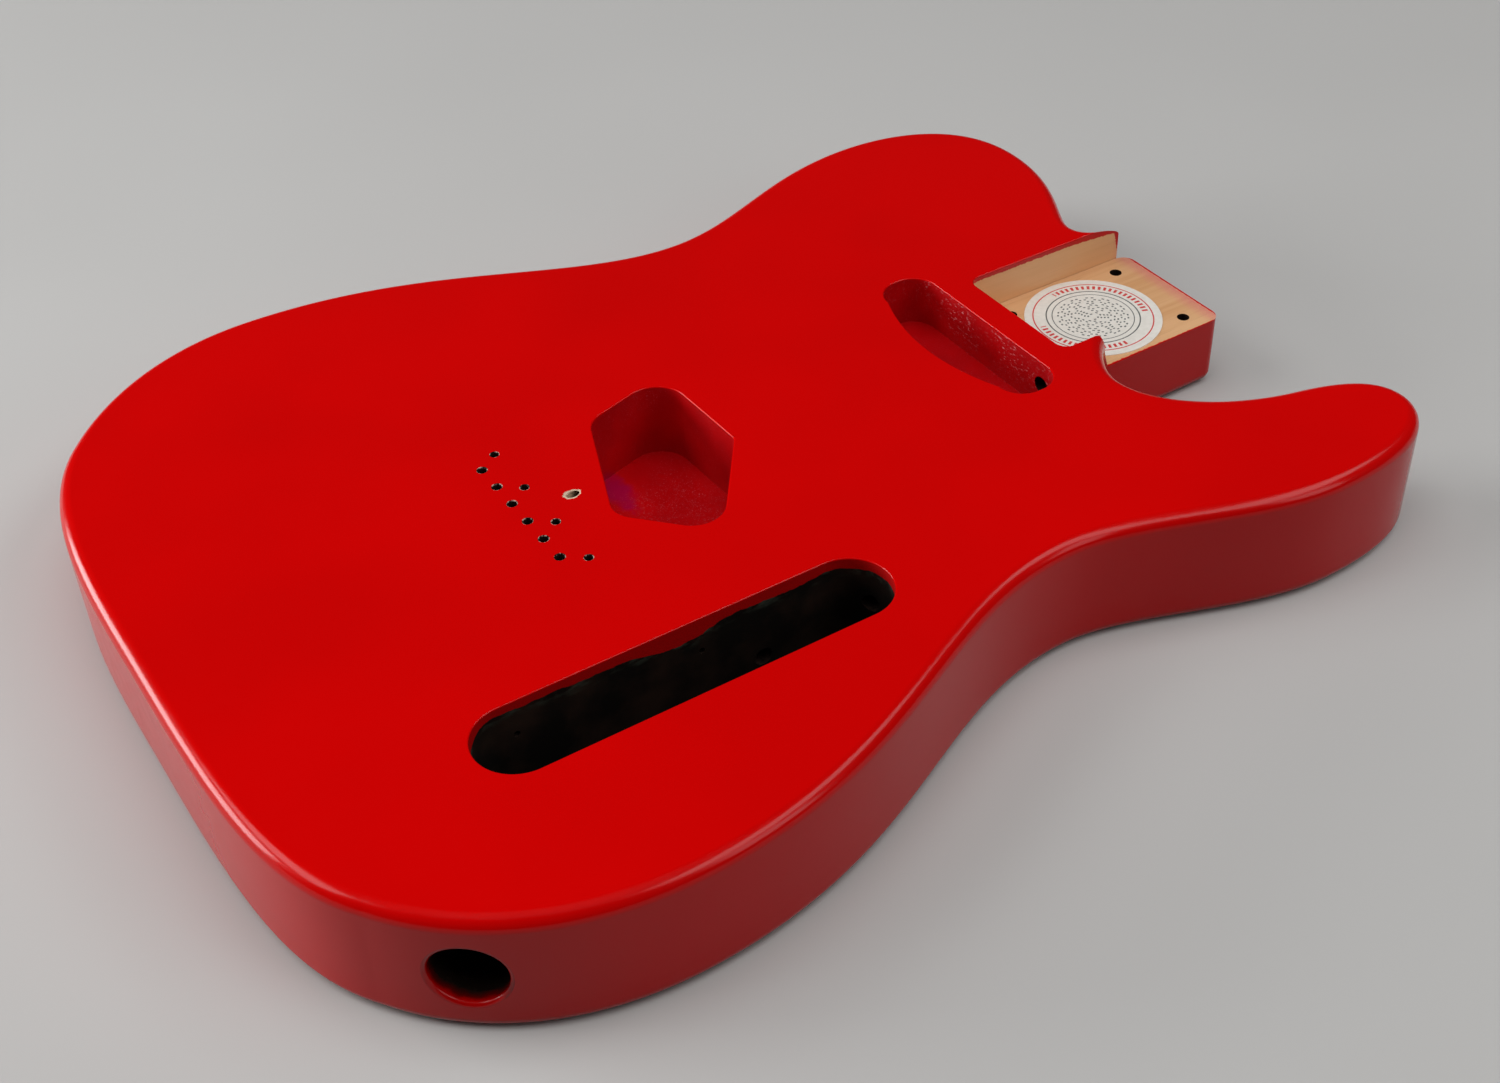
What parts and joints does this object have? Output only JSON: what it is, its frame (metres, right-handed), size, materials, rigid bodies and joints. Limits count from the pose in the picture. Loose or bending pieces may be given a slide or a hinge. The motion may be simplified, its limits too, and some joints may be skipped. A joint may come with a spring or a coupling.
{
  "type": "electric guitar body",
  "caption": "Bare single-cutaway solid guitar body, glued up from boards and routed for neck, pickups, controls, through-body strings and side jack, with a label in the neck pocket.",
  "frame": {"origin": "on the back face, at the centre of the four neck screws, which is the centre of the neck plate's seat", "axes": "+X along the body towards the neck, +Y to the bass side, +Z out of the front"},
  "size_m": [0.4075, 0.3214, 0.044],
  "materials": {
    "lacquered_wood": "solid red satin-gloss lacquer outside, bare pale wood in the neck pocket, black paint in the control cavity",
    "label": "off-white printed sticker"
  },
  "bodies": {
    "root": {"bass_side_board": "lacquered_wood", "centre_board": "lacquered_wood", "treble_side_board": "lacquered_wood", "pocket_label": "label"}
  },
  "joints": []
}
